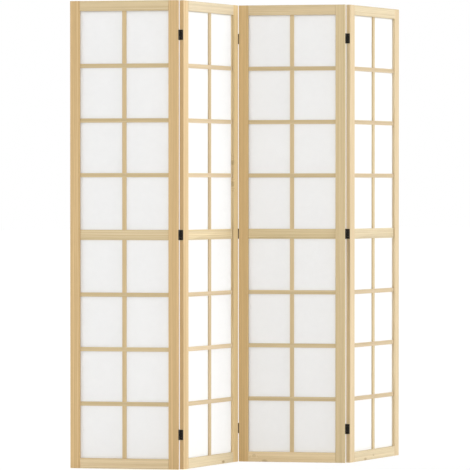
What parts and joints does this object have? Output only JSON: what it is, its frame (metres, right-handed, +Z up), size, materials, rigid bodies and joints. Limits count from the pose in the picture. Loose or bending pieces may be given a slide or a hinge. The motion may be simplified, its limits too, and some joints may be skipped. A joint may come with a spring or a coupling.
{
  "type": "folding screen",
  "caption": "Free-standing folding screen: pine-framed panels with a square lattice over a white sheet, joined by small butt hinges so that it folds flat either way.",
  "frame": {"origin": "middle of the screen's footprint on the floor, as it stands in its zigzag", "axes": "+Z up along the panels; +X along the mean line of the panels, from panel 1 to panel 4; -Y to the front, where the lattice shows"},
  "size_m": [1.3546, 0.2424, 1.7],
  "materials": {
    "pine_frame": "clear satin",
    "pine_lattice": "clear satin",
    "white_sheet": "matt non-woven paper",
    "hinge_leaf": "black semi-gloss",
    "hinge_pin": "black semi-gloss"
  },
  "bodies": {
    "panel_1": {"panel_1_left_stile": "pine_frame", "panel_1_right_stile": "pine_frame", "panel_1_top_rail": "pine_frame", "panel_1_middle_rail": "pine_frame", "panel_1_bottom_rail": "pine_frame", "panel_1_upper_lattice": "pine_lattice", "panel_1_lower_lattice": "pine_lattice", "panel_1_sheet": "white_sheet", "hinge_1_2_bottom_leaf_1": "hinge_leaf", "hinge_1_2_bottom_pin": "hinge_pin", "hinge_1_2_middle_leaf_1": "hinge_leaf", "hinge_1_2_middle_pin": "hinge_pin", "hinge_1_2_top_leaf_1": "hinge_leaf", "hinge_1_2_top_pin": "hinge_pin"},
    "panel_2": {"panel_2_left_stile": "pine_frame", "panel_2_right_stile": "pine_frame", "panel_2_top_rail": "pine_frame", "panel_2_middle_rail": "pine_frame", "panel_2_bottom_rail": "pine_frame", "panel_2_upper_lattice": "pine_lattice", "panel_2_lower_lattice": "pine_lattice", "panel_2_sheet": "white_sheet", "hinge_1_2_bottom_leaf_2": "hinge_leaf", "hinge_1_2_middle_leaf_2": "hinge_leaf", "hinge_1_2_top_leaf_2": "hinge_leaf", "hinge_2_3_bottom_leaf_2": "hinge_leaf", "hinge_2_3_bottom_pin": "hinge_pin", "hinge_2_3_middle_leaf_2": "hinge_leaf", "hinge_2_3_middle_pin": "hinge_pin", "hinge_2_3_top_leaf_2": "hinge_leaf", "hinge_2_3_top_pin": "hinge_pin"},
    "panel_3": {"panel_3_left_stile": "pine_frame", "panel_3_right_stile": "pine_frame", "panel_3_top_rail": "pine_frame", "panel_3_middle_rail": "pine_frame", "panel_3_bottom_rail": "pine_frame", "panel_3_upper_lattice": "pine_lattice", "panel_3_lower_lattice": "pine_lattice", "panel_3_sheet": "white_sheet", "hinge_2_3_bottom_leaf_3": "hinge_leaf", "hinge_2_3_middle_leaf_3": "hinge_leaf", "hinge_2_3_top_leaf_3": "hinge_leaf", "hinge_3_4_bottom_leaf_3": "hinge_leaf", "hinge_3_4_bottom_pin": "hinge_pin", "hinge_3_4_middle_leaf_3": "hinge_leaf", "hinge_3_4_middle_pin": "hinge_pin", "hinge_3_4_top_leaf_3": "hinge_leaf", "hinge_3_4_top_pin": "hinge_pin"},
    "panel_4": {"panel_4_left_stile": "pine_frame", "panel_4_right_stile": "pine_frame", "panel_4_top_rail": "pine_frame", "panel_4_middle_rail": "pine_frame", "panel_4_bottom_rail": "pine_frame", "panel_4_upper_lattice": "pine_lattice", "panel_4_lower_lattice": "pine_lattice", "panel_4_sheet": "white_sheet", "hinge_3_4_bottom_leaf_4": "hinge_leaf", "hinge_3_4_middle_leaf_4": "hinge_leaf", "hinge_3_4_top_leaf_4": "hinge_leaf"}
  },
  "joints": [
    {"name": "fold_1_2", "type": "hinge", "parent": "panel_2", "child": "panel_1", "pos_m": [-0.33938, -0.10722, 0.85], "axis": [0, 0, 1], "range_deg": [-110, 70]},
    {"name": "fold_2_3", "type": "hinge", "parent": "panel_2", "child": "panel_3", "pos_m": [0, 0.10722, 0.85], "axis": [0, 0, 1], "range_deg": [-110, 70]},
    {"name": "fold_3_4", "type": "hinge", "parent": "panel_3", "child": "panel_4", "pos_m": [0.33938, -0.10722, 0.85], "axis": [0, 0, 1], "range_deg": [-70, 110]}
  ]
}
